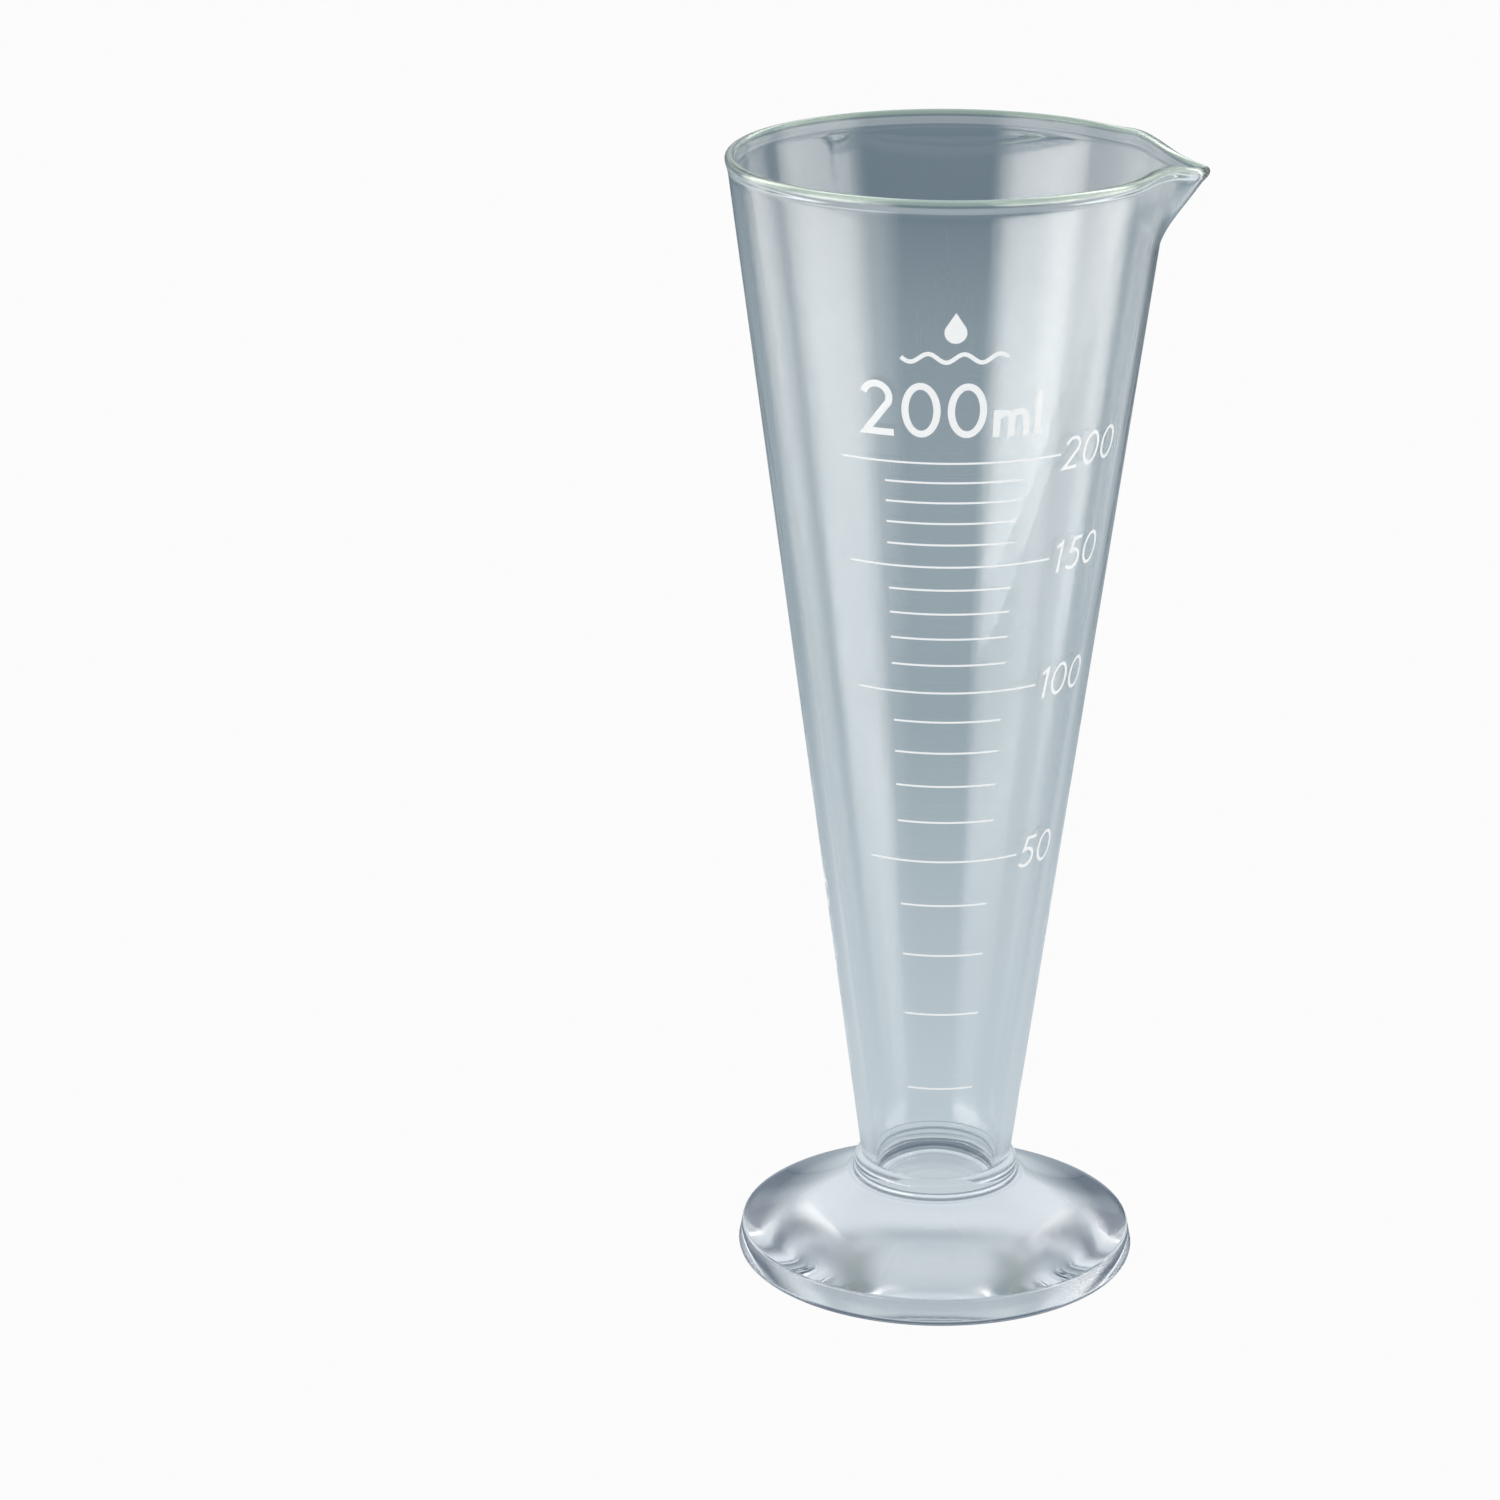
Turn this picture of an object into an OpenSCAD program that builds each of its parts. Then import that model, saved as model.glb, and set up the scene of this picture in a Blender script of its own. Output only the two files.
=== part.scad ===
// Footed conical measuring glass for darkroom chemicals: a glass cone with a pouring lip,
// fused by a collar to a round foot, with a fired white enamel scale in millilitres.
// The scale is not drawn by hand: each line sits where the hollow holds its volume.

/* [Cone] */
// Height of the rim above the table
overall_height = 203.3; // [202:0.1:212]
// Outer diameter of the rim, without the lip
rim_diameter = 76.2; // [75.5:0.1:80]
// Outer diameter of the cone where it joins the foot
seam_diameter = 27.2; // [26.5:0.1:30]
// Height of that joint above the table
seam_height = 19.3; // [18.5:0.1:20]
// Thickness of the wall at the rim
wall_at_rim = 1.25; // [1.2:0.05:1.6]
// Thickness of the wall at the joint
wall_at_seam = 2.7; // [2:0.05:3]
// Height of the bottom of the hollow above the table
floor_height = 15.0; // [14.6:0.1:16.5]
// Radius of the corner between the wall and the bottom of the hollow
heel_radius = 2.0; // [1.5:0.1:4]
// Diameter of the rounded, fire-polished edge of the rim
bead_diameter = 1.8; // [1.6:0.1:3]

/* [Pouring lip] */
// How far the lip reaches out past the rim
lip_reach = 6.2; // [4:0.1:8]
// How far the lip droops below the rim
lip_droop = 2.3; // [0:0.1:4]
// Height of the wall that the lip is drawn out of
lip_depth = 13.4; // [10:0.1:20]
// Angle over which the lip narrows to its tip
lip_angle = 5.8; // [4:0.1:12]
// Rise of the rim on either side of the lip
lip_shoulder = 0.5; // [0:0.1:1]

/* [Foot] */
// Diameter of the foot at its widest
foot_diameter = 71.8; // [66:0.1:80]
// Height of the foot's rim
foot_edge = 5.4; // [4:0.1:7]
// Height of the foot where the collar stands on it
foot_crown = 15.0; // [14.5:0.1:15.2]
// Diameter of the collar where it meets the foot
collar_base = 31.6; // [30.5:0.1:34]
// Diameter of the collar's bead at its widest
collar_diameter = 29.6; // [29:0.1:31]

/* [Scale] */
// Volume between two lines, in ml
line_step = 10; // [5, 10]
// Number of lines
line_count = 20; // [10:1:20]
// Every such line is long and carries its number
lines_per_number = 5; // [5, 10]
// Half of the angle that a short line spans
short_line = 21.0; // [10:0.1:30]
// Half of the angle that a long line spans
long_line = 34.9; // [20:0.1:45]
// Width of a line
line_width = 0.35; // [0.3:0.05:1]
// Thickness of the enamel
enamel_thickness = 0.1; // [0.05:0.01:0.3]
// Height of the numbers at the lines
number_height = 5.9; // [4:0.1:8]
// Slant of those numbers, as sideways run over height
number_slant = 0.12; // [0:0.01:0.4]
// Width of their strokes, as a share of their height
number_pen = 0.1; // [0.08:0.01:0.14]
// Space between a long line and its number, in degrees
number_space = 0.6; // [0:0.1:4]
// Gap between the figures of a number, as a part of their height
number_gap = 0.15; // [0.05:0.01:0.3]
// Angle at which the capacity number starts
capacity_start = -27.8; // [-40:0.1:-10]
// Angle at which the unit starts
unit_start = 11.5; // [5:0.1:20]
// Gap between the figures of the capacity number, as a part of their height
capacity_letter_gap = 0.13; // [0.03:0.01:0.3]
// Gap between the letters of the unit, as a part of their height
unit_letter_gap = 0.1; // [0.03:0.01:0.3]
// Height of the capacity number
capacity_height = 9.7; // [6:0.1:12]
// Width of its strokes, as a share of its height
capacity_pen = 0.125; // [0.08:0.005:0.14]
// Height of that number's foot above the top line
capacity_gap = 4.6; // [3:0.1:8]

/* [Hidden] */
$fn = 96;
segments = 96;
glass = [0.74, 0.82, 0.86, 0.5];
collar_glass = [0.62, 0.74, 0.78, 0.7];
foot_glass = [0.66, 0.77, 0.82, 0.6];

rim_r = rim_diameter / 2;
seam_r = seam_diameter / 2;
foot_r = foot_diameter / 2;
bead_r = bead_diameter / 2;
outer_slope = (rim_r - seam_r) / (overall_height - seam_height);
hollow_r = seam_r - wall_at_seam;
hollow_slope = (rim_r - wall_at_rim - hollow_r) / (overall_height - seam_height);
cone_base = foot_crown - 3;

capacity = line_step * line_count;
volumes = [for (i = [1 : line_count]) i * line_step];
numbers = [for (v = volumes) if (v % (line_step * lines_per_number) == 0) v];

function three_digits(v) = str(v < 100 ? "0" : "", v < 10 ? "0" : "", v);
function line_name(v) = str("graduation_", three_digits(v));
function number_name(v) = str("numeral_", three_digits(v));

// ---- Radii and volumes of the glass

// Outer radius of the cone at a height, and radius of its hollow there
function outer_r(z) = seam_r + outer_slope * (z - seam_height);
function inner_r(z) = hollow_r + hollow_slope * (z - seam_height);

// Points on an arc, in the plane of a profile
function arc(centre, r, from, to, steps) = [
    for (i = [0 : steps]) let (a = from + (to - from) * i / steps)
        centre + r * [cos(a), sin(a)]
];

// Corner of the hollow, from the wall round to the flat bottom
heel_centre = [inner_r(floor_height + heel_radius) - heel_radius * sqrt(1 + pow(hollow_slope, 2)),
    floor_height + heel_radius];
heel = arc(heel_centre, heel_radius, -atan(hollow_slope), -90, 6);

function frustum(p, q) = PI / 3 * (q[1] - p[1]) * (p[0] * p[0] + p[0] * q[0] + q[0] * q[0]);
function sum(list, i = 0) = i < len(list) ? list[i] + sum(list, i + 1) : 0;

// Volume of the hollow below the joint, which the straight cone above it does not count
heel_profile = concat([[hollow_r, seam_height]], heel);
heel_volume = sum([for (i = [1 : len(heel_profile) - 1]) frustum(heel_profile[i], heel_profile[i - 1])]);

// Height of the liquid when the hollow holds a volume in ml
function level(v) = seam_height
    + (pow(pow(hollow_r, 3) + 3 * hollow_slope * (v * 1000 - heel_volume) / PI, 1 / 3) - hollow_r)
    / hollow_slope;

// ---- Glass cone

// The wall is built on its middle surface, which is a plain cone apart from the lip.
// depth is how far below the rim the point of the plain cone lies.
// The cone has flat facets that stand round the true cone, so their middles touch it.
around = 1 / cos(180 / segments);
function blend(s) = 0.85 * s + 0.15 * s * s * (3 - 2 * s);
function drawn(depth) = blend(max(0, min(1, 1 - (depth - bead_r) / lip_depth)));
function lip_out(a, d) =
    let (round_off = 2.5 + 4 * (1 - d), width = lip_angle + 2 * (1 - d))
    lip_reach * d * exp((round_off - norm([a, round_off])) / width);
function lip_down(a, d) = d * (lip_droop * exp(-pow(a / 10, 2))
    - lip_shoulder * exp(-pow((abs(a) - 26) / 8, 2)));

function middle(a, depth) =
    let (z = overall_height - depth, d = drawn(depth))
    let (r = around * (outer_r(z) + inner_r(z)) / 2 + lip_out(a, d))
    [r * cos(a), r * sin(a), z - lip_down(a, d)];

function unit(v) = v / norm(v);
function upwards(a, depth) = unit(middle(a, depth - 0.05) - middle(a, depth + 0.05));
function outwards(a, depth) = unit(cross(middle(a + 0.2, depth) - middle(a - 0.2, depth), upwards(a, depth)));
function half_wall(depth) =
    let (wall = wall_at_rim + (wall_at_seam - wall_at_rim) * depth / (overall_height - seam_height))
    let (swell = exp(-pow(max(0, depth - bead_r) / 1.2, 2)))
    wall / 2 + (bead_r - wall / 2) * swell;

// Angles round the cone, counted both ways from the lip and closer together there
crowding = 30;
turns = [
    for (i = [0 : segments - 1]) let (a = 360 * (i < segments / 2 ? i : i - segments) / segments)
        a - crowding * sin(a)
];

function wall_ring(depth, side) = [
    for (a = turns) middle(a, depth) + side * half_wall(depth) * outwards(a, depth)
];
function bead_ring(turn) = [
    for (a = turns)
        middle(a, bead_r) + bead_r * (cos(turn) * outwards(a, bead_r) + sin(turn) * upwards(a, bead_r))
];
function level_ring(p) = [for (a = turns) [around * p[0] * cos(a), around * p[0] * sin(a), p[1]]];

lip_depths = [bead_r, 1.5, 2.2, 3.2, 4.6, 6.2, 8, 10, 12, 14.3];

// Rings from the outside of the closed end, over the rim, to the bottom of the hollow
module glass_cone() {
    rings = concat(
        [level_ring([outer_r(cone_base), cone_base])],
        [for (i = [len(lip_depths) - 1 : -1 : 0]) wall_ring(lip_depths[i], 1)],
        [for (turn = [30 : 30 : 150]) bead_ring(turn)],
        [for (depth = lip_depths) wall_ring(depth, -1)],
        [for (p = heel) level_ring(p)]
    );
    last = len(rings) - 1;
    points = concat([for (ring = rings) each ring], [[0, 0, cone_base], [0, 0, floor_height]]);
    sides = [
        for (k = [0 : last - 1], i = [0 : segments - 1]) let (j = (i + 1) % segments)
            each [
                [k * segments + i, (k + 1) * segments + i, (k + 1) * segments + j],
                [k * segments + i, (k + 1) * segments + j, k * segments + j]
            ]
    ];
    ends = [
        for (i = [0 : segments - 1]) let (j = (i + 1) % segments)
            each [
                [(last + 1) * segments, i, j],
                [(last + 1) * segments + 1, last * segments + j, last * segments + i]
            ]
    ];
    color(glass) polyhedron(points, concat(sides, ends));
}

// ---- Collar and foot

// Ring of glass that was melted round the joint: a bead above a fillet that runs out on the foot
module fused_collar() {
    bead_height = (seam_height + foot_crown) / 2;
    bead_size = (seam_height - foot_crown) * 0.42;
    base_r = collar_base / 2;
    profile = concat(
        [[outer_r(foot_crown), foot_crown], [base_r, foot_crown]],
        arc([base_r, foot_crown + 0.75], 0.75, 270, 200, 4),
        arc([collar_diameter / 2 - bead_size, bead_height], bead_size, -25, 75, 10),
        [[outer_r(seam_height), seam_height]]
    );
    color(collar_glass) rotate_extrude() polygon(profile);
}

// Curve of the foot's top, from the edge in to the collar
function foot_top(steps) =
    let (edge = [foot_r - 1, foot_edge + 0.1], crown = [collar_base / 2, foot_crown])
    let (pull = [edge[0] * 0.36 + crown[0] * 0.64, edge[1] * 0.57 + crown[1] * 0.43])
    [for (i = [0 : steps]) let (t = i / steps)
        (1 - t) * (1 - t) * edge + 2 * t * (1 - t) * pull + t * t * crown];

module glass_foot() {
    profile = concat(
        [[0, 0]],
        arc([foot_r - 1.45, 1.45], 1.45, -90, 0, 6),
        arc([foot_r - 1.3, foot_edge - 0.7], 0.7, 0, 62, 5),
        foot_top(16),
        [[outer_r(foot_crown), foot_crown], [outer_r(cone_base), cone_base], [0, cone_base]]
    );
    color(foot_glass) rotate_extrude() polygon(profile);
}

// ---- Enamel

// Layer of enamel that follows the outside of the cone between two heights
module layer(low, high, angle = 360) {
    rotate_extrude(angle = angle) polygon([
        [outer_r(low), low],
        [outer_r(low) + enamel_thickness, low],
        [outer_r(high) + enamel_thickness, high],
        [outer_r(high), high]
    ]);
}

// Flat figure, printed on the cone with its origin at a height and at an angle from the front
module printed(height, angle, size) {
    intersection() {
        layer(height - size, height + size);
        rotate([0, 0, angle]) translate([0, 0, height]) rotate([90, 0, 0])
            linear_extrude(rim_r + 5) children();
    }
}

function has_number(v) = v % (line_step * lines_per_number) == 0;

module graduation(v) {
    span = has_number(v) ? long_line : short_line;
    color("white") rotate([0, 0, -90 - span])
        layer(level(v) - line_width / 2, level(v) + line_width / 2, 2 * span);
}

// ---- Figures, one unit high, built of strokes

// Outline of a stroke along a path, mitred at its corners
function left(v) = [-v[1], v[0]];
function corner(path, i) =
    let (before = unit(path[max(i, 1)] - path[max(i, 1) - 1]))
    let (after = unit(path[min(i + 1, len(path) - 1)] - path[min(i, len(path) - 2)]))
    let (n = unit(left(before) + left(after)))
    n / (n * left(before));
function stroke(path, width) = concat(
    [for (i = [0 : len(path) - 1]) path[i] + width / 2 * corner(path, i)],
    [for (i = [len(path) - 1 : -1 : 0]) path[i] - width / 2 * corner(path, i)]
);
function ellipse(centre, rx, ry, from, to, steps) = [
    for (i = [0 : steps]) let (a = from + (to - from) * i / steps)
        centre + [rx * cos(a), ry * sin(a)]
];

// Middle lines of the figures, for a stroke as wide as pen
function one() = [[0.12, 0.79], [0.3, 0.93], [0.3, 0]];
function two(pen) = concat(
    ellipse([0.3, 0.7], 0.3 - pen / 2, 0.3 - pen / 2, 165, -25, 20),
    [[0.09, pen / 2], [0.6, pen / 2]]
);
function five(pen) = concat(
    [[0.6, 1 - pen / 2], [0.25, 1 - pen / 2], [0.18, 0.57]],
    ellipse([0.3, 0.325], 0.325 - pen / 2, 0.325 - pen / 2, 100, -140, 24)
);
function arch(start, pen) = ellipse([start + 0.2, 0.3], 0.135, 0.2 - pen / 2, 180, 0, 12);
function arch_left(pen) = concat([[0.065, 0], [0.065, 0.28]], arch(0, pen), [[0.335, 0]]);
function arch_right(pen) = concat(arch(0.27, pen), [[0.605, 0]]);

function sheared(points, slant) = [for (p = points) [p[0] + slant * p[1], p[1]]];
function scaled(points, size, slant) = size * sheared(points, slant);

// Widths of the figures, and where each starts when a gap stands between them
function figure_width(c) = c == "1" ? 0.38 : c == "2" || c == "5" ? 0.62 : c == "l" ? 0.13 : 0.67;
function figure_start(word, i, gap) =
    i == 0 ? 0 : figure_start(word, i - 1, gap) + figure_width(word[i - 1]) + gap;

module drawn_stroke(path, size, slant, pen) {
    polygon(stroke(scaled(path, size, slant), pen * size));
}

module figure(c, size, slant, pen) {
    if (c == "0") difference() {
        polygon(scaled(ellipse([0.34, 0.5], 0.34, 0.5, 0, 360, 48), size, slant));
        polygon(scaled(ellipse([0.34, 0.5], 0.34 - pen, 0.5 - pen, 0, 360, 48), size, slant));
    }
    if (c == "1") intersection() {
        drawn_stroke(one(), size, slant, pen);
        translate([-size, 0]) square([3 * size, size]);
    }
    if (c == "2") drawn_stroke(two(pen), size, slant, pen);
    if (c == "5") drawn_stroke(five(pen), size, slant, pen);
    if (c == "m") {
        drawn_stroke(arch_left(pen), size, slant, pen);
        drawn_stroke(arch_right(pen), size, slant, pen);
        translate([0, 0.3 * size]) square([pen * size, 0.2 * size]);
    }
    if (c == "l") square([pen * size, 0.8 * size]);
}

// Word of figures along the cone, from an angle to the front's right, on a base height
module word_on_cone(word, base, angle, size, slant, pen, gap) {
    radius = outer_r(base + size / 2);
    color("white") for (i = [0 : len(word) - 1]) {
        half = size * figure_width(word[i]) / 2;
        turn = (size * figure_start(word, i, gap) + half) / radius * 180 / PI;
        printed(base, angle + turn, 1.5 * size) translate([-half, 0]) figure(word[i], size, slant, pen);
    }
}

module numeral(v) {
    base = level(v) - number_height / 2;
    word_on_cone(str(v), base, long_line + number_space, number_height, number_slant, number_pen, number_gap);
}

capacity_base = level(capacity) + capacity_gap;

module capacity_number() {
    word_on_cone(str(capacity), capacity_base, capacity_start, capacity_height, 0, capacity_pen,
        capacity_letter_gap);
}

module capacity_unit() {
    word_on_cone("ml", capacity_base, unit_start, capacity_height, 0, capacity_pen, unit_letter_gap);
}

// ---- Emblem: a drop above a wave, the plain sign for a liquid

emblem_base = capacity_base + capacity_height + 2.4;

module emblem_drop() {
    drop = concat([[0, 5.4]], arc([0, 1.9], 1.9, 28, -208, 28));
    color("white") printed(emblem_base + 4.6, 0, 6) polygon(drop);
}

module emblem_wave() {
    wave = [for (x = [-9 : 0.5 : 9]) [x, 2 + 0.75 * sin(x * 60)]];
    color("white") printed(emblem_base, 0, 5) polygon(stroke(wave, 0.75));
}

glass_cone();
fused_collar();
glass_foot();
for (v = volumes) graduation(v);
for (v = numbers) numeral(v);
capacity_number();
capacity_unit();
emblem_drop();
emblem_wave();
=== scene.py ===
"""Footed conical measuring glass: clear glass with a pouring lip and a fired white scale."""
import math

import bmesh
import bpy
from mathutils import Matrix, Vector


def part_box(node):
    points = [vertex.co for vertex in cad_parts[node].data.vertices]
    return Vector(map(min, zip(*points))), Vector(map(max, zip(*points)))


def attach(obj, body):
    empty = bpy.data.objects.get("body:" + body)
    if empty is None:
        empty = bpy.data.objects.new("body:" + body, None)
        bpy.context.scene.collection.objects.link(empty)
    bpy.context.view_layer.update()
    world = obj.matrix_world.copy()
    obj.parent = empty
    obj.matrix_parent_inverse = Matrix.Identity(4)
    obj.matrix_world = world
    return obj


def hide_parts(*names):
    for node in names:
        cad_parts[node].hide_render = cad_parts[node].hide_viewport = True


MM = 0.001

# ---- Sizes of the glass, in millimetres, as in the design

SEAM_Z = 19.3          # joint of the cone and the collar
CROWN_Z = 15.0         # top of the foot, where the collar stands
SEAM_R = 13.6
RIM_Z = 203.3
RIM_R = 38.1
FLOOR_Z = 15.0         # bottom of the hollow
HEEL_R = 2.0
BEAD_R = 0.9
WALL_AT_RIM = 1.25
WALL_AT_SEAM = 2.7
LIP_REACH = 6.2
LIP_DROOP = 2.3
LIP_SHOULDER = 0.5
LIP_DEPTH = 13.4
LIP_ANGLE = 5.8
COLLAR_R = 14.8        # widest ring of the collar
FOOT_EDGE_Z = 5.5      # where the foot's top meets its edge

HOLLOW_R = SEAM_R - WALL_AT_SEAM
CONE_HEIGHT = RIM_Z - SEAM_Z
OUTER_SLOPE = (RIM_R - SEAM_R) / CONE_HEIGHT
INNER_SLOPE = (RIM_R - WALL_AT_RIM - HOLLOW_R) / CONE_HEIGHT

# ---- Mesh detail

SEGMENTS = 360         # round the glass
CROWDING = 30          # degrees by which they crowd towards the lip
ENAMEL_STEP = 0.0012   # longest edge of the enamel's mesh, in metres
ENAMEL_HEIGHT = 0.045  # how far the enamel stands off the glass, in millimetres
ENAMEL_BITE = 0.02     # how far it is sunk into the glass, in millimetres
CROWN_STEPS = 25       # steps of the curve over the top of the foot

# ---- Looks

GLASS_IOR = 1.5
GLASS_TINT = (0.955, 0.97, 0.975)
RIM_TINT = (0.76, 0.88, 0.66)
RIM_TINT_DEPTHS = (1.3, 0.5)     # where the rim's tint starts and is full, in millimetres below the top
WAVES = ((150, 0.05, 0.8), (620, 0.012, 0.2))   # scale, stretch along the height, and weight
WAVE_STRENGTH = 0.045
WAVES_FULL_ABOVE_SEAM = 25       # in millimetres
GROUND_RADII = (30, 25)          # where the ground underside starts and is full, in millimetres
GROUND_ROUGHNESS = 0.2
ENAMEL_DARK = (0.83, 0.86, 0.87)
ENAMEL_LIGHT = (0.95, 0.97, 0.97)
LIGHT_COLOUR = (1.0, 0.96, 0.92)
# grey of the painted shade behind to the right, in the room and on the table
PAINTED_SHADE_GREY = (0.07, 0.09, 0.11)
WALL_GREYS = (0.17, 0.21, 0.24), (0.80, 0.86, 0.91)   # low down and higher up
CEILING_GREY = (0.30, 0.35, 0.39)
FLOOR_GREY = (0.97, 0.97, 0.97)
LIGHT_BOUNCES = 128    # reflections inside the glass count too, and the foot needs many


# ---- Shape of the glass

def outer_r(z):
    return SEAM_R + OUTER_SLOPE * (z - SEAM_Z)


def inner_r(z):
    return HOLLOW_R + INNER_SLOPE * (z - SEAM_Z)


def drawn(depth):
    """How much of the lip's pull reaches a point of the wall that lies depth below the rim."""
    s = max(0.0, min(1.0, 1 - (depth - BEAD_R) / LIP_DEPTH))
    return 0.85 * s + 0.15 * s * s * (3 - 2 * s)


def middle(angle, depth):
    """Middle of the wall, at an angle in degrees from the lip and a depth below the rim."""
    z = RIM_Z - depth
    pull = drawn(depth)
    round_off = 2.5 + 4 * (1 - pull)
    width = LIP_ANGLE + 2 * (1 - pull)
    out = LIP_REACH * pull * math.exp((round_off - math.hypot(angle, round_off)) / width)
    down = LIP_DROOP * math.exp(-((angle / 10) ** 2))
    up = LIP_SHOULDER * math.exp(-(((abs(angle) - 26) / 8) ** 2))
    r = (outer_r(z) + inner_r(z)) / 2 + out
    a = math.radians(angle)
    return Vector((r * math.cos(a), r * math.sin(a), z - pull * (down - up)))


def wall_axes(angle, depth):
    """Unit vectors out of the wall and up along it."""
    up = (middle(angle, depth - 0.05) - middle(angle, depth + 0.05)).normalized()
    along = middle(angle + 0.2, depth) - middle(angle - 0.2, depth)
    return along.cross(up).normalized(), up


def half_wall(depth):
    wall = WALL_AT_RIM + (WALL_AT_SEAM - WALL_AT_RIM) * depth / CONE_HEIGHT
    swell = math.exp(-((max(0.0, depth - BEAD_R) / 1.2) ** 2))
    return wall / 2 + (BEAD_R - wall / 2) * swell


def angles():
    """Angles round the glass, counted both ways from the lip and closer together there."""
    for i in range(SEGMENTS):
        a = 360 * (i if i < SEGMENTS / 2 else i - SEGMENTS) / SEGMENTS
        yield a - CROWDING * math.sin(math.radians(a))


def level_ring(r, z):
    return [Vector((r * math.cos(math.radians(a)), r * math.sin(math.radians(a)), z)) for a in angles()]


def wall_ring(depth, side):
    return [middle(a, depth) + side * half_wall(depth) * wall_axes(a, depth)[0] for a in angles()]


def bead_ring(turn):
    ring = []
    for a in angles():
        out, up = wall_axes(a, BEAD_R)
        turned = out * math.cos(math.radians(turn)) + up * math.sin(math.radians(turn))
        ring.append(middle(a, BEAD_R) + BEAD_R * turned)
    return ring


def arc(centre, radius, start, end, steps):
    turns = [math.radians(start + (end - start) * i / steps) for i in range(steps + 1)]
    return [(centre[0] + radius * math.cos(t), centre[1] + radius * math.sin(t)) for t in turns]


def foot_profile():
    """Outline of the foot and the collar, from the middle of the underside up to the joint."""
    low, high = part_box("glass_foot")
    foot_r = (high.x - low.x) / 2 / MM
    low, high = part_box("fused_collar")
    base_r = (high.x - low.x) / 2 / MM
    edge = Vector((foot_r - 1.0, FOOT_EDGE_Z))
    crown = Vector((base_r, CROWN_Z))
    pull = Vector((edge.x * 0.36 + crown.x * 0.64, edge.y * 0.57 + crown.y * 0.43))
    flat = [(0.5, 0.0), (5.0, 0.0), (15.0, 0.0), (25.0, 0.0), (foot_r - 2.5, 0.0)]
    top = []
    for i in range(1, CROWN_STEPS):
        t = i / CROWN_STEPS
        p = (1 - t) ** 2 * edge + 2 * t * (1 - t) * pull + t * t * crown
        top.append((p.x, p.y))
    bead = 0.42 * (SEAM_Z - CROWN_Z)
    return (
        flat
        + arc((foot_r - 1.45, 1.45), 1.45, -90, 0, 12)
        + arc((foot_r - 1.3, 4.7), 0.7, 0, 62, 8)
        + top
        + arc((base_r, CROWN_Z + 0.75), 0.75, 270, 200, 8)
        + arc((COLLAR_R - bead, (SEAM_Z + CROWN_Z) / 2), bead, -25, 75, 16)
        + [(outer_r(SEAM_Z), SEAM_Z)]
    )


def glass_rings():
    """Rings of the glass surface, from under the foot over the rim to the bottom of the hollow, with
    each ring's depth below the rim."""
    heel_z = FLOOR_Z + HEEL_R
    heel_x = inner_r(heel_z) - HEEL_R * math.sqrt(1 + INNER_SLOPE ** 2)
    depths = [BEAD_R + 0.3 * i for i in range(12)] + [4.6 + 0.7 * i for i in range(16)]
    straight = [17 + 8 * i for i in range(21)]
    rings = [(RIM_Z - z, level_ring(r, z)) for r, z in foot_profile()]
    rings += [(d, wall_ring(d, 1)) for d in reversed(depths + straight)]
    rings += [(BEAD_R * (1 - math.sin(math.radians(t))), bead_ring(t)) for t in range(15, 180, 15)]
    rings += [(d, wall_ring(d, -1)) for d in depths + straight]
    heel = arc((heel_x, heel_z), HEEL_R, -math.degrees(math.atan(INNER_SLOPE)), -90, 12)
    rings += [(RIM_Z - z, level_ring(r, z)) for r, z in heel + [(5.0, FLOOR_Z), (0.5, FLOOR_Z)]]
    return rings


def mesh_piece(name, vertices, faces):
    mesh = bpy.data.meshes.new(name)
    mesh.from_pydata(vertices, [], faces)
    mesh.update()
    piece = bpy.data.objects.new(name, mesh)
    bpy.context.scene.collection.objects.link(piece)
    return piece


def make_glass():
    rings = glass_rings()
    n = SEGMENTS
    vertices = [p * MM for _, ring in rings for p in ring]
    faces = [
        (k * n + i, k * n + (i + 1) % n, (k + 1) * n + (i + 1) % n, (k + 1) * n + i)
        for k in range(len(rings) - 1)
        for i in range(n)
    ]
    faces.append(tuple(reversed(range(n))))
    faces.append(tuple((len(rings) - 1) * n + i for i in range(n)))
    piece = mesh_piece("clear_glass", vertices, faces)
    for face in piece.data.polygons:
        face.use_smooth = len(face.vertices) == 4
    below_rim = piece.data.attributes.new("below_rim", "FLOAT", "POINT")
    below_rim.data.foreach_set("value", [depth for depth, ring in rings for _ in ring])
    return piece


# ---- Enamel

def seat_on_glass(point, raised):
    """Moves a point of the enamel to its place on the cone: raised is 0 on the inside and 1 outside."""
    z = point.z / MM
    angle = math.atan2(point.y, point.x)
    off = -ENAMEL_BITE + raised * (ENAMEL_BITE + ENAMEL_HEIGHT)
    r = (outer_r(z) + off) * MM
    return Vector((r * math.cos(angle), r * math.sin(angle), point.z))


def make_enamel(node_name):
    """Enamel patch from its CAD node, cut fine enough to follow the glass, and sunk into it a little."""
    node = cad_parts[node_name]
    mesh = bmesh.new()
    mesh.from_mesh(node.data)
    bmesh.ops.remove_doubles(mesh, verts=mesh.verts, dist=1e-6)
    raised = mesh.verts.layers.float.new("raised")
    for v in mesh.verts:
        over = math.hypot(v.co.x, v.co.y) / MM - outer_r(v.co.z / MM)
        v[raised] = 1.0 if over > 0.05 else 0.0
    for _ in range(8):
        long_edges = [e for e in mesh.edges if e.calc_length() > ENAMEL_STEP]
        if not long_edges:
            break
        bmesh.ops.subdivide_edges(mesh, edges=long_edges, cuts=1, use_grid_fill=False)
        bmesh.ops.triangulate(mesh, faces=[f for f in mesh.faces if len(f.verts) > 3])
    for v in mesh.verts:
        v.co = seat_on_glass(v.co, v[raised])
    piece = mesh_piece(node_name + "_print", [], [])
    mesh.to_mesh(piece.data)
    mesh.free()
    return piece


# ---- Shader nodes

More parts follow.
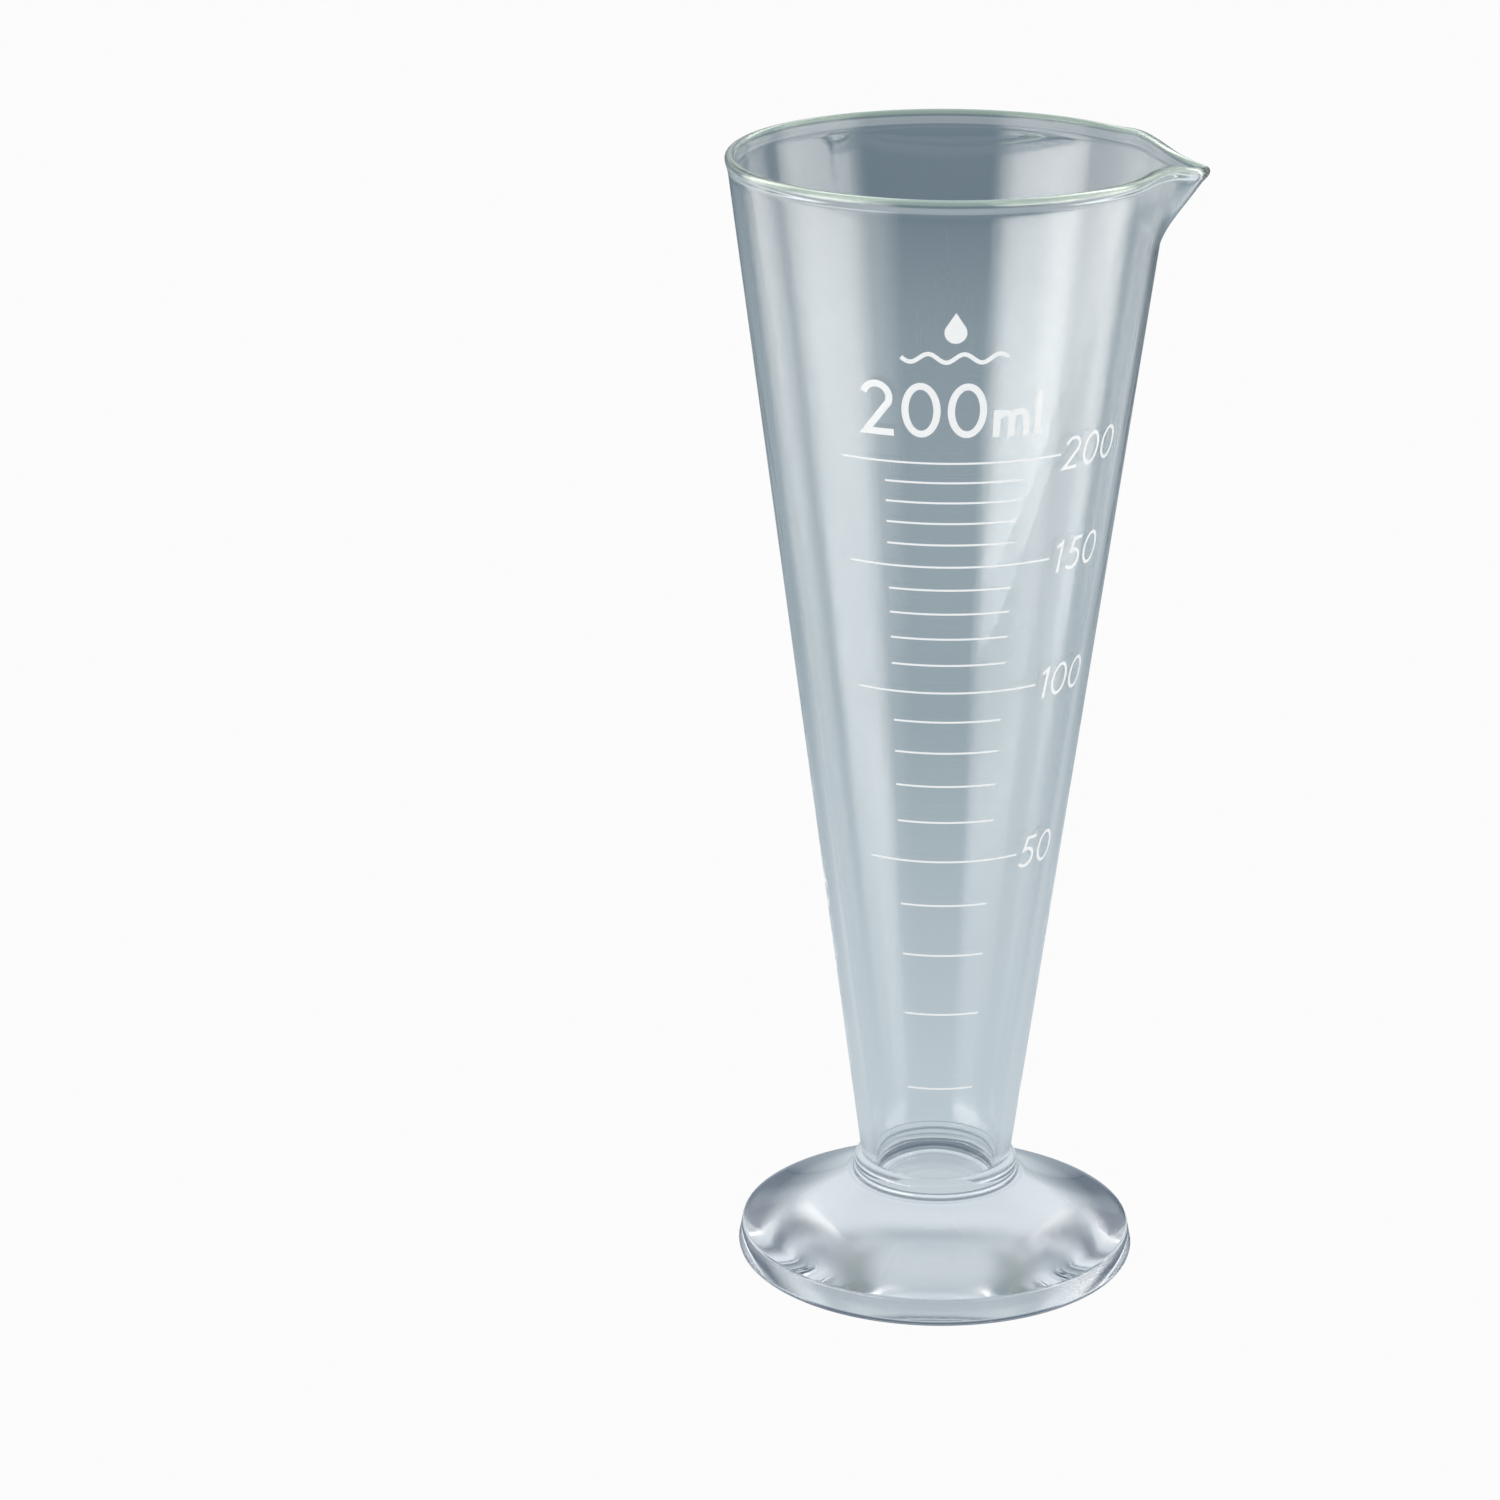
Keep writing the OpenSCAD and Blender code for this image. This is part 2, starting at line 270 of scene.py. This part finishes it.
def node_math(tree, operation, first, second):
    """Math node on two values, each a socket or a number."""
    node = tree.nodes.new("ShaderNodeMath")
    node.operation = operation
    for socket, value in zip(node.inputs, (first, second)):
        if isinstance(value, bpy.types.NodeSocket):
            tree.links.new(value, socket)
        else:
            socket.default_value = value
    return node.outputs[0]


def ramp(tree, value, start, end, shape="SMOOTHSTEP", low=0.0):
    """Rises from low to 1 while value goes from start to end."""
    node = tree.nodes.new("ShaderNodeMapRange")
    node.interpolation_type = shape
    node.inputs["From Min"].default_value = start
    node.inputs["From Max"].default_value = end
    node.inputs["To Min"].default_value = low
    tree.links.new(value, node.inputs["Value"])
    return node.outputs["Result"]


def colour_between(tree, factor, low, high):
    """Mix of two colours, the first of them a socket or three numbers."""
    node = tree.nodes.new("ShaderNodeMix")
    node.data_type = "RGBA"
    if isinstance(low, bpy.types.NodeSocket):
        tree.links.new(low, node.inputs["A"])
    else:
        node.inputs["A"].default_value = (*low, 1)
    node.inputs["B"].default_value = (*high, 1)
    tree.links.new(factor, node.inputs["Factor"])
    return node.outputs["Result"]


def vector_math(tree, operation, first, second=None):
    node = tree.nodes.new("ShaderNodeVectorMath")
    node.operation = operation
    tree.links.new(first, node.inputs[0])
    if second:
        node.inputs[1].default_value = second
    return node.outputs["Vector" if operation == "NORMALIZE" else "Value"]


def noise(tree, vector, scale, detail):
    node = tree.nodes.new("ShaderNodeTexNoise")
    node.inputs["Scale"].default_value = scale
    node.inputs["Detail"].default_value = detail
    tree.links.new(vector, node.inputs["Vector"])
    return node.outputs["Fac"]


def bump(tree, shader, height, strength, distance):
    node = tree.nodes.new("ShaderNodeBump")
    node.inputs["Strength"].default_value = strength
    node.inputs["Distance"].default_value = distance
    tree.links.new(height, node.inputs["Height"])
    tree.links.new(node.outputs["Normal"], shader.inputs["Normal"])


# ---- Materials

def new_material(name):
    material = bpy.data.materials.new(name)
    material.use_nodes = True
    return material, material.node_tree, material.node_tree.nodes["Principled BSDF"]


def waviness(tree, place):
    """Faint waves drawn out up the glass, in a coarse and a fine size."""
    total = None
    for scale, stretch, weight in WAVES:
        stretched = tree.nodes.new("ShaderNodeMapping")
        stretched.inputs["Scale"].default_value = (1.0, 1.0, stretch)
        tree.links.new(place, stretched.inputs["Vector"])
        part = tree.nodes.new("ShaderNodeMath")
        part.operation = "MULTIPLY_ADD"
        part.inputs[1].default_value = weight
        tree.links.new(noise(tree, stretched.outputs["Vector"], scale, 2), part.inputs[0])
        if total is not None:
            tree.links.new(total, part.inputs[2])
        total = part.outputs[0]
    return total


def glass_material():
    """Clear glass, wavy where it is blown, ground in the middle of its underside, tinted at the rim."""
    material, tree, shader = new_material("clear_glass")
    shader.inputs["IOR"].default_value = GLASS_IOR
    shader.inputs["Transmission Weight"].default_value = 1.0
    place = tree.nodes.new("ShaderNodeTexCoord").outputs["Object"]
    split = tree.nodes.new("ShaderNodeSeparateXYZ")
    tree.links.new(place, split.inputs["Vector"])
    height = split.outputs["Z"]

    waves_end = (SEAM_Z + WAVES_FULL_ABOVE_SEAM) * MM
    blown = ramp(tree, height, SEAM_Z * MM, waves_end, "LINEAR", low=0.1)
    waves = node_math(tree, "MULTIPLY", waviness(tree, place), blown)
    bump(tree, shader, waves, WAVE_STRENGTH, MM)

    underside = ramp(tree, height, 0.3 * MM, 0.1 * MM)
    ground_start, ground_full = GROUND_RADII
    inner = ramp(tree, vector_math(tree, "LENGTH", place), ground_start * MM, ground_full * MM)
    ground = node_math(tree, "MULTIPLY", underside, inner)
    roughness = node_math(tree, "MULTIPLY", ground, GROUND_ROUGHNESS)
    tree.links.new(roughness, shader.inputs["Roughness"])

    depth = tree.nodes.new("ShaderNodeAttribute")
    depth.attribute_name = "below_rim"
    rim = ramp(tree, depth.outputs["Fac"], *RIM_TINT_DEPTHS, "LINEAR")
    tree.links.new(colour_between(tree, rim, GLASS_TINT, RIM_TINT), shader.inputs["Base Color"])
    return material


def enamel_material():
    material, tree, shader = new_material("white_enamel")
    shader.inputs["Roughness"].default_value = 0.35
    place = tree.nodes.new("ShaderNodeTexCoord").outputs["Object"]
    grain = noise(tree, place, 2200, 4)
    tree.links.new(colour_between(tree, grain, ENAMEL_DARK, ENAMEL_LIGHT), shader.inputs["Base Color"])
    bump(tree, shader, grain, 0.25, 0.03 * MM)
    return material


def paint(piece, material):
    piece.data.materials.clear()
    piece.data.materials.append(material)


# ---- Studio

def glow(name):
    """Stage material that only shines, with its node tree and its emission node."""
    material = bpy.data.materials.new(name)
    material.use_nodes = True
    material.cycles.emission_sampling = "NONE"
    tree = material.node_tree
    tree.nodes.clear()
    emission = tree.nodes.new("ShaderNodeEmission")
    out = tree.nodes.new("ShaderNodeOutputMaterial")
    tree.links.new(emission.outputs["Emission"], out.inputs["Surface"])
    return material, tree, emission, out


def seen_only_in_glass(stage_object):
    stage_object.visible_camera = False
    stage_object.visible_diffuse = False
    stage_object.visible_shadow = False


def disc(name, radius, z, steps=96):
    ring = [(radius * math.cos(math.tau * i / steps), radius * math.sin(math.tau * i / steps), 0)
            for i in range(steps)]
    piece = mesh_piece(name, ring, [tuple(range(steps))])
    piece.location.z = z
    return piece


# Lights that the glass mirrors, from low on all round the room: azimuth from the camera's side to
# the right, half of the spread that is at full strength and of the whole spread, and strength on the
# room's wall and on the table
SIDE_LIGHTS = (
    (-58, 9, 33, 7.2, 3.6),
    (-105, 10, 34, 2.9, 1.7),
    (78, 12, 35, 4.3, 3.7),
    (128, 4, 20, 0.6, 0.5),
)
PAINTED_SHADE_SPREAD = (151, 8, 18)   # azimuth and half spreads of a painted shade in the room and on the table


def sector(tree, direction, azimuth, full, end):
    """1 within full degrees of an azimuth and 0 beyond end degrees of it."""
    a = math.radians(azimuth)
    towards = vector_math(tree, "DOT_PRODUCT", direction, (math.sin(a), -math.cos(a), 0))
    return ramp(tree, towards, math.cos(math.radians(end)), math.cos(math.radians(full)))


def side_lights(tree, direction, reach, on_table):
    """Emission of the side lights, where reach says how much of it there is. It is seen only after a
    reflection, so that a view straight through the glass is never flooded by a light behind it."""
    path = tree.nodes.new("ShaderNodeLightPath")
    mirrored = node_math(tree, "MINIMUM", path.outputs["Glossy Depth"], 1.0)
    light = None
    for azimuth, full, end, on_wall_strength, on_table_strength in SIDE_LIGHTS:
        strength = on_table_strength if on_table else on_wall_strength
        part = node_math(tree, "MULTIPLY", sector(tree, direction, azimuth, full, end), strength)
        light = part if light is None else node_math(tree, "ADD", light, part)
    lights = tree.nodes.new("ShaderNodeEmission")
    lights.inputs["Color"].default_value = (*LIGHT_COLOUR, 1)
    light = node_math(tree, "MULTIPLY", light, mirrored)
    tree.links.new(node_math(tree, "MULTIPLY", light, reach), lights.inputs["Strength"])
    return lights.outputs["Emission"]


def add_emission(tree, out, first, second):
    both = tree.nodes.new("ShaderNodeAddShader")
    tree.links.new(first, both.inputs[0])
    tree.links.new(second, both.inputs[1])
    tree.links.new(both.outputs["Shader"], out.inputs["Surface"])


# Greys of the table: the one under the middle of the foot, then each change outwards, with the
# distances where it starts and ends, in metres, and the grey after it
MIDDLE_GREY = (0.60, 0.66, 0.70)
TABLE_SHADOW_AND_GREYS = (
    # painted shadow under the foot's edge, then light again round it
    (0.018, 0.030, (0.10, 0.13, 0.18)),
    (0.037, 0.052, (0.57, 0.635, 0.68)),
    (0.05, 0.30, (0.335, 0.40, 0.44)),
    (0.40, 0.66, (0.265, 0.32, 0.36)),
    (0.66, 0.84, (0.15, 0.20, 0.24)),
)


def table_material():
    """Grey table: light under the middle of the foot, a painted shadow under its edge, light round it,
    then darker, with a painted shade far behind to the right.
    """
    material, tree, emission, out = glow("grey_table")
    place = tree.nodes.new("ShaderNodeTexCoord").outputs["Object"]
    distance = vector_math(tree, "LENGTH", place)
    direction = vector_math(tree, "NORMALIZE", place)
    grey = MIDDLE_GREY
    for start, end, after in TABLE_SHADOW_AND_GREYS:
        grey = colour_between(tree, ramp(tree, distance, start, end, "LINEAR"), grey, after)
    # painted shade far behind to the right, which darkens the glass's edge
    painted_shade = sector(tree, direction, *PAINTED_SHADE_SPREAD)
    painted_shade = node_math(tree, "MULTIPLY", painted_shade, ramp(tree, distance, 0.4, 1.0))
    tree.links.new(colour_between(tree, painted_shade, grey, PAINTED_SHADE_GREY), emission.inputs["Color"])
    lights = side_lights(tree, direction, ramp(tree, distance, 0.06, 0.7, "LINEAR"), True)
    add_emission(tree, out, emission.outputs["Emission"], lights)
    return material


def room_material():
    """Walls, dark low down and light higher up, with the side lights low on them, a painted shade low
    behind to the right and a grey ceiling.
    """
    material, tree, emission, out = glow("grey_room")
    place = tree.nodes.new("ShaderNodeTexCoord").outputs["Object"]
    direction = vector_math(tree, "NORMALIZE", place)
    split = tree.nodes.new("ShaderNodeSeparateXYZ")
    tree.links.new(direction, split.inputs["Vector"])
    upper = ramp(tree, split.outputs["Z"], 0.06, 0.26)
    behind = ramp(tree, split.outputs["Y"], 0.3, 0.8)
    rise = node_math(tree, "MAXIMUM", upper, node_math(tree, "MULTIPLY", behind, 0.2))
    grey = colour_between(tree, rise, *WALL_GREYS)
    grey = colour_between(tree, ramp(tree, split.outputs["Z"], 0.5, 0.78), grey, CEILING_GREY)
    low = ramp(tree, split.outputs["Z"], 0.2, 0.06)
    # painted shade low on the wall behind to the right
    painted_shade = node_math(tree, "MULTIPLY", sector(tree, direction, *PAINTED_SHADE_SPREAD), low)
    tree.links.new(colour_between(tree, painted_shade, grey, PAINTED_SHADE_GREY), emission.inputs["Color"])
    lights = side_lights(tree, direction, low, False)
    add_emission(tree, out, emission.outputs["Emission"], lights)
    return material


def surround(name, radius):
    ball = bmesh.new()
    bmesh.ops.create_uvsphere(ball, u_segments=64, v_segments=32, radius=radius)
    piece = mesh_piece(name, [], [])
    ball.to_mesh(piece.data)
    ball.free()
    return piece


def make_studio():
    world = bpy.data.worlds.new("studio")
    world.use_nodes = True
    world.node_tree.nodes["Background"].inputs["Color"].default_value = (1, 1, 1, 1)
    world.node_tree.nodes["Background"].inputs["Strength"].default_value = 1.0
    bpy.context.scene.world = world

    floor = disc("floor", 6.0, -0.0004)
    pale, _, emission, _ = glow("pale_floor")
    emission.inputs["Color"].default_value = (*FLOOR_GREY, 1)
    floor.data.materials.append(pale)
    floor.visible_transmission = False
    floor.visible_glossy = False

    table = disc("table_in_glass", 2.0, -0.0005)
    table.data.materials.append(table_material())
    seen_only_in_glass(table)

    room = surround("room_in_glass", 3.5)
    room.data.materials.append(room_material())
    seen_only_in_glass(room)


def make_camera():
    lens = bpy.data.cameras.new("camera")
    lens.lens = 114.3
    lens.sensor_width = 36
    lens.clip_start = 0.01
    camera = bpy.data.objects.new("camera", lens)
    camera.location = (-0.0339, -0.7984, 0.3717)
    camera.rotation_euler = (math.radians(90 - 19.06), 0, 0)
    bpy.context.scene.collection.objects.link(camera)
    bpy.context.scene.camera = camera


# ---- The scene

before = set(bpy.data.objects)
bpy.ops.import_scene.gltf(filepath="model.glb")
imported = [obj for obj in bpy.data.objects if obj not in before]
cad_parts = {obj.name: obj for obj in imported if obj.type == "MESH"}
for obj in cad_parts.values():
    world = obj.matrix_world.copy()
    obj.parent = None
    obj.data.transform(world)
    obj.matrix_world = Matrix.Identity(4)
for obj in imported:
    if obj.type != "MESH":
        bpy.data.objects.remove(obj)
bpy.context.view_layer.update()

make_camera()

glass = make_glass()
paint(glass, glass_material())
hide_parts("glass_cone", "fused_collar", "glass_foot")
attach(glass, "root")

white = enamel_material()
GLASS_NODES = ("glass_cone", "fused_collar", "glass_foot")
for name in sorted(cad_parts):
    if name in GLASS_NODES:
        continue
    patch = make_enamel(name)
    paint(patch, white)
    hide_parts(name)
    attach(patch, "root")

make_studio()

scene = bpy.context.scene
scene.view_settings.view_transform = "Standard"
scene.cycles.use_denoising = True
scene.cycles.max_bounces = LIGHT_BOUNCES
scene.cycles.transmission_bounces = LIGHT_BOUNCES
scene.cycles.glossy_bounces = LIGHT_BOUNCES
scene.cycles.caustics_refractive = True
